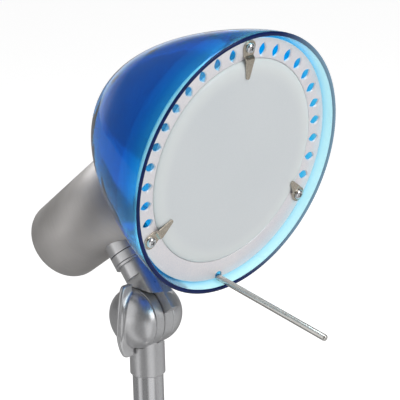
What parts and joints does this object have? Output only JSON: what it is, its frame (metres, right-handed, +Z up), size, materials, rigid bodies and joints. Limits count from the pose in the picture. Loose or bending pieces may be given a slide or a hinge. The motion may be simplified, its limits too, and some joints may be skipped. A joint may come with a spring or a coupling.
{
  "type": "desk lamp",
  "caption": "Desk lamp with a weighted round base, two jointed arms, and a swivelling head with a clear blue shade, silver reflector and frosted glass front.",
  "frame": {"origin": "centre of the round base on the surface it stands on", "axes": "+Z up, +X the way the lamp head faces, +Y to the lamp's left, along the arm joints' axes"},
  "size_m": [0.2573, 0.18, 0.5683],
  "materials": {
    "satin_metal": "satin chrome on steel",
    "cast_metal": "satin chrome on die-cast zinc",
    "brushed_metal": "circumferentially brushed",
    "iron": "rough cast, painted grey",
    "steel": "zinc plated",
    "rubber": "matt",
    "white_plastic": "matt",
    "black_plastic": "fine grain",
    "fibre": "pressed fibre",
    "brass": "turned",
    "ceramic": "unglazed",
    "quartz": "frosted",
    "blue_plastic": "clear deep blue moulding, polished",
    "silver_sheet": "silver, with a fine hammered front flange",
    "frosted_glass": "sand-blasted front",
    "chrome": "polished",
    "nickel": "nickel plated"
  },
  "bodies": {
    "base": {"base_cover": "satin_metal", "base_weight": "iron", "base_plate": "steel", "base_screws": "steel", "base_pad": "rubber", "pivot_bush": "white_plastic", "switch_body": "black_plastic", "cable_bush": "rubber", "terminal_block": "white_plastic"},
    "rocker": {"switch_rocker": "black_plastic"},
    "post": {"pedestal": "cast_metal", "pedestal_spindle": "steel", "pedestal_washer": "steel", "pedestal_nut": "steel"},
    "lower_arm": {"lower_arm_foot": "cast_metal", "lower_arm_tube": "satin_metal", "lower_arm_head": "cast_metal", "base_bolt": "steel", "base_washer": "fibre", "base_cap": "cast_metal"},
    "base_knob": {"base_knob": "cast_metal", "base_knob_nut": "brass"},
    "upper_arm": {"upper_arm_foot": "cast_metal", "upper_arm_tube": "satin_metal", "upper_arm_head": "cast_metal", "elbow_bolt": "steel", "elbow_washer": "fibre", "elbow_cap": "cast_metal"},
    "elbow_knob": {"elbow_knob": "cast_metal", "elbow_knob_nut": "brass"},
    "fork": {"head_fork": "cast_metal", "head_bolt": "steel", "head_washer": "fibre", "head_cap": "cast_metal", "swivel_ring": "cast_metal", "swivel_nipple": "steel", "swivel_washer": "steel", "swivel_nut": "steel"},
    "head_knob": {"head_knob": "cast_metal", "head_knob_nut": "brass"},
    "head": {"stem_boss": "cast_metal", "swivel_saddle": "cast_metal", "lamp_housing": "brushed_metal", "mounting_plate": "steel", "mounting_screws": "steel", "housing_screw": "steel", "neck": "brass", "ring_nut": "brass", "lampholder": "ceramic", "lamp_capsule": "quartz", "lamp_pins": "steel", "shade": "blue_plastic", "reflector": "silver_sheet", "glass_disc": "frosted_glass", "clip_screws": "chrome", "handle_rod": "chrome"},
    "clip_top": {"clip_top": "nickel"},
    "clip_near": {"clip_near": "nickel"},
    "clip_far": {"clip_far": "nickel"}
  },
  "joints": [
    {"name": "base_swivel", "type": "hinge", "parent": "base", "child": "post", "pos_m": [0, 0, 0.025], "axis": [0, 0, 1], "range_deg": [-170, 170]},
    {"name": "lower_arm_tilt", "type": "hinge", "parent": "post", "child": "lower_arm", "pos_m": [0, 0, 0.062], "axis": [0, 1, 0], "range_deg": [-50, 65]},
    {"name": "elbow_tilt", "type": "hinge", "parent": "lower_arm", "child": "upper_arm", "pos_m": [-0.0845, 0, 0.22093], "axis": [0, 1, 0], "range_deg": [-45, 75]},
    {"name": "head_tilt", "type": "hinge", "parent": "upper_arm", "child": "fork", "pos_m": [-0.0845, 0, 0.39093], "axis": [0, 1, 0], "range_deg": [-40, 60]},
    {"name": "head_swivel", "type": "hinge", "parent": "fork", "child": "head", "pos_m": [-0.09402, 0, 0.4245], "axis": [-0.6334, 0, 0.7738], "range_deg": [-120, 120]},
    {"name": "base_knob_turn", "type": "hinge", "parent": "post", "child": "base_knob", "pos_m": [0, -0.014, 0.062], "axis": [0, -1, 0], "range_deg": [-20, 340]},
    {"name": "elbow_knob_turn", "type": "hinge", "parent": "lower_arm", "child": "elbow_knob", "pos_m": [-0.0845, -0.014, 0.22093], "axis": [0, -1, 0], "range_deg": [-20, 340]},
    {"name": "head_knob_turn", "type": "hinge", "parent": "upper_arm", "child": "head_knob", "pos_m": [-0.0845, -0.014, 0.39093], "axis": [0, -1, 0], "range_deg": [-20, 340]},
    {"name": "switch_rock", "type": "hinge", "parent": "base", "child": "rocker", "pos_m": [0.062, 0, 0.022], "axis": [1, 0, 0], "range_deg": [-14, 0]},
    {"name": "clip_top_turn", "type": "hinge", "parent": "head", "child": "clip_top", "pos_m": [0.002, 0, 0.55981], "axis": [0.9799, 0, -0.1994], "range_deg": [-90, 90]},
    {"name": "clip_near_turn", "type": "hinge", "parent": "head", "child": "clip_near", "pos_m": [-0.01761, -0.05681, 0.46339], "axis": [0.9799, 0, -0.1994], "range_deg": [-90, 90]},
    {"name": "clip_far_turn", "type": "hinge", "parent": "head", "child": "clip_far", "pos_m": [-0.01761, 0.05681, 0.46339], "axis": [0.9799, 0, -0.1994], "range_deg": [-90, 90]}
  ]
}
